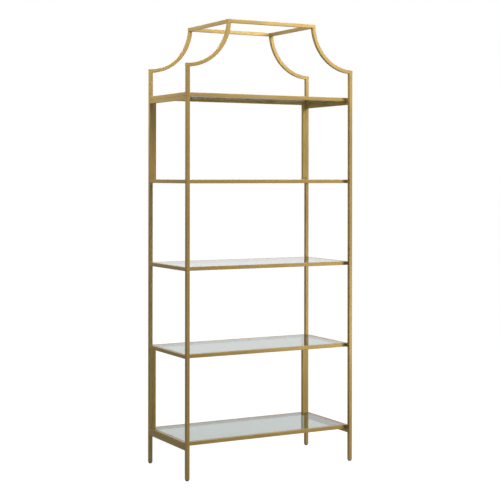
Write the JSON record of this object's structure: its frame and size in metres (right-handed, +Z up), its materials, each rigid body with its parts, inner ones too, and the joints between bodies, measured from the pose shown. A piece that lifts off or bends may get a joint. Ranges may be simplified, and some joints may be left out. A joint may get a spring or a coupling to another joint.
{
  "type": "etagere",
  "caption": "Tall open etagere with a slim square-tube metal frame, lift-out glass shelves, a stepped crown with concave arms and levelling glides.",
  "frame": {"origin": "on the floor under the middle of the footprint", "axes": "+X to the right seen from the front, +Y to the rear, +Z up"},
  "size_m": [0.78, 0.372, 1.8401],
  "materials": {
    "gold_frame": "satin gold",
    "shelf_glass": "clear tempered, polished edges",
    "glide_plastic": "matt black",
    "plug_plastic": "matt",
    "insert_steel": "zinc plated",
    "gold_cap": "satin gold",
    "clear_bumper": "clear, soft"
  },
  "bodies": {
    "frame": {"back_post_lower_left": "gold_frame", "back_post_lower_right": "gold_frame", "back_post_upper_left": "gold_frame", "back_post_upper_right": "gold_frame", "crown_arm_front_left": "gold_frame", "crown_arm_front_right": "gold_frame", "crown_arm_rear_left": "gold_frame", "crown_arm_rear_right": "gold_frame", "crown_bar_left": "gold_frame", "crown_bar_right": "gold_frame", "crown_plugs": "plug_plastic", "crown_rail_front": "gold_frame", "crown_rail_rear": "gold_frame", "frame_screws": "insert_steel", "front_rail_1": "gold_frame", "front_rail_2": "gold_frame", "front_rail_3": "gold_frame", "front_rail_4": "gold_frame", "front_rail_5": "gold_frame", "glass_bumpers": "clear_bumper", "glass_tabs": "gold_frame", "leg_foot_inserts": "plug_plastic", "leg_front_left": "gold_frame", "leg_front_right": "gold_frame", "leg_rear_left": "gold_frame", "leg_rear_right": "gold_frame", "rail_end_inserts": "insert_steel", "rear_rail_1": "gold_frame", "rear_rail_2": "gold_frame", "rear_rail_3": "gold_frame", "rear_rail_4": "gold_frame", "rear_rail_5": "gold_frame", "screw_hole_caps": "gold_cap", "side_rail_left_1": "gold_frame", "side_rail_left_2": "gold_frame", "side_rail_left_3": "gold_frame", "side_rail_left_4": "gold_frame", "side_rail_left_5": "gold_frame", "side_rail_right_1": "gold_frame", "side_rail_right_2": "gold_frame", "side_rail_right_3": "gold_frame", "side_rail_right_4": "gold_frame", "side_rail_right_5": "gold_frame", "side_rung_left_bottom": "gold_frame", "side_rung_left_top": "gold_frame", "side_rung_right_bottom": "gold_frame", "side_rung_right_top": "gold_frame"},
    "shelf_pane_1": {"shelf_glass_1": "shelf_glass"},
    "shelf_pane_2": {"shelf_glass_2": "shelf_glass"},
    "shelf_pane_3": {"shelf_glass_3": "shelf_glass"},
    "shelf_pane_4": {"shelf_glass_4": "shelf_glass"},
    "shelf_pane_5": {"shelf_glass_5": "shelf_glass"},
    "foot_front_left": {"glide_front_left": "glide_plastic"},
    "foot_rear_left": {"glide_rear_left": "glide_plastic"},
    "foot_front_right": {"glide_front_right": "glide_plastic"},
    "foot_rear_right": {"glide_rear_right": "glide_plastic"}
  },
  "joints": [
    {"name": "shelf_pane_1_lift", "type": "slide", "parent": "frame", "child": "shelf_pane_1", "axis": [0, 0, 1], "range_m": [0, 0.06]},
    {"name": "shelf_pane_2_lift", "type": "slide", "parent": "frame", "child": "shelf_pane_2", "axis": [0, 0, 1], "range_m": [0, 0.06]},
    {"name": "shelf_pane_3_lift", "type": "slide", "parent": "frame", "child": "shelf_pane_3", "axis": [0, 0, 1], "range_m": [0, 0.06]},
    {"name": "shelf_pane_4_lift", "type": "slide", "parent": "frame", "child": "shelf_pane_4", "axis": [0, 0, 1], "range_m": [0, 0.06]},
    {"name": "shelf_pane_5_lift", "type": "slide", "parent": "frame", "child": "shelf_pane_5", "axis": [0, 0, 1], "range_m": [0, 0.06]},
    {"name": "foot_front_left_level", "type": "slide", "parent": "frame", "child": "foot_front_left", "axis": [0, 0, 1], "range_m": [-0.01, 0]},
    {"name": "foot_rear_left_level", "type": "slide", "parent": "frame", "child": "foot_rear_left", "axis": [0, 0, 1], "range_m": [-0.01, 0]},
    {"name": "foot_front_right_level", "type": "slide", "parent": "frame", "child": "foot_front_right", "axis": [0, 0, 1], "range_m": [-0.01, 0]},
    {"name": "foot_rear_right_level", "type": "slide", "parent": "frame", "child": "foot_rear_right", "axis": [0, 0, 1], "range_m": [-0.01, 0]}
  ]
}
